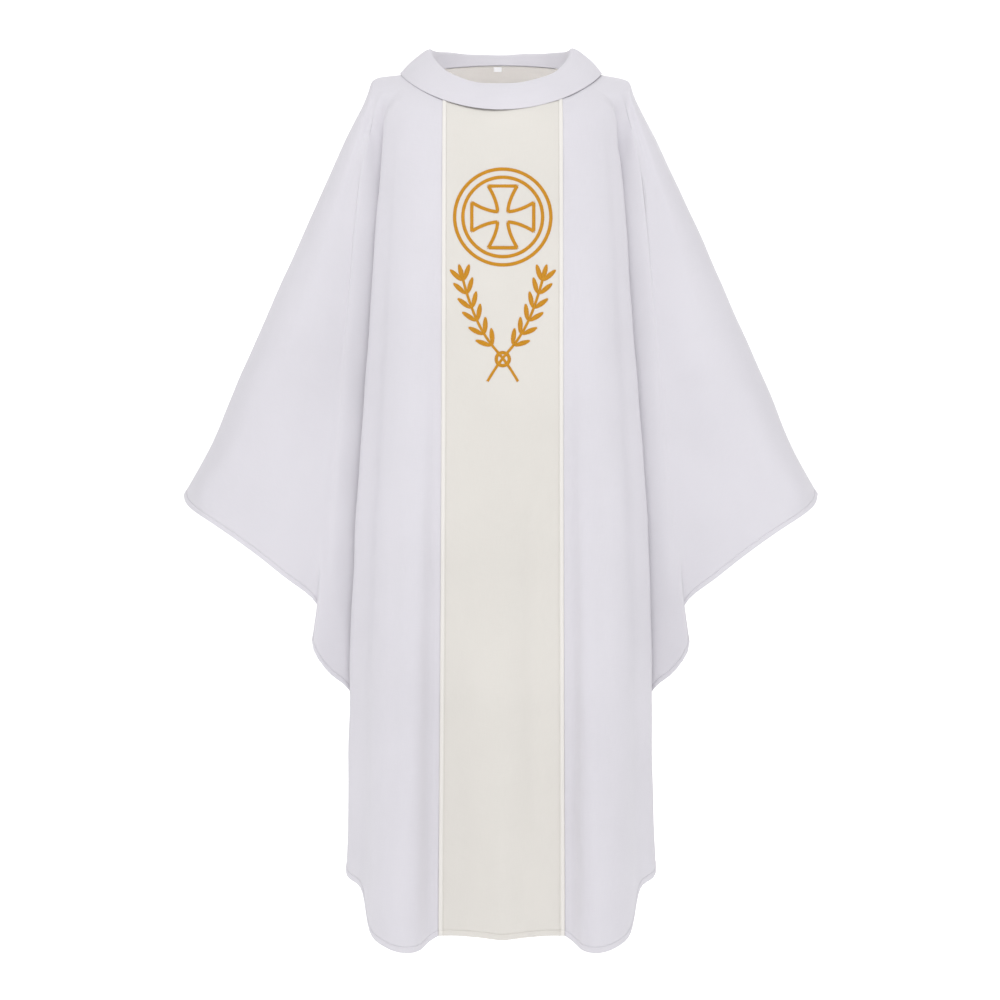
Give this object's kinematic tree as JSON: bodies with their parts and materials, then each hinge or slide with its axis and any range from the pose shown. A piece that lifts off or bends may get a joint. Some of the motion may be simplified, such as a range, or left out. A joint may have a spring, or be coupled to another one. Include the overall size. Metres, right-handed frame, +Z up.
{
  "type": "chasuble",
  "caption": "White gothic chasuble with a rolled collar and a cream orphrey band at the front and back, in the hollow form it has when worn.",
  "frame": {"origin": "middle of the neck, at the height where the collar's lower edge meets the shoulders", "axes": "+Z up from hem to neck, -Y to the front, X across from sleeve to sleeve"},
  "size_m": [0.9504, 0.403, 1.3284],
  "materials": {
    "white_crepe": "matte",
    "cream_crepe": "matte",
    "gold_thread": "satin",
    "tag_tape": "satin"
  },
  "bodies": {
    "root": {"front_orphrey": "cream_crepe", "back_orphrey": "cream_crepe", "front_panel_left": "white_crepe", "front_panel_right": "white_crepe", "back_panel_left": "white_crepe", "back_panel_right": "white_crepe", "collar": "white_crepe", "size_tag": "tag_tape"}
  },
  "joints": []
}
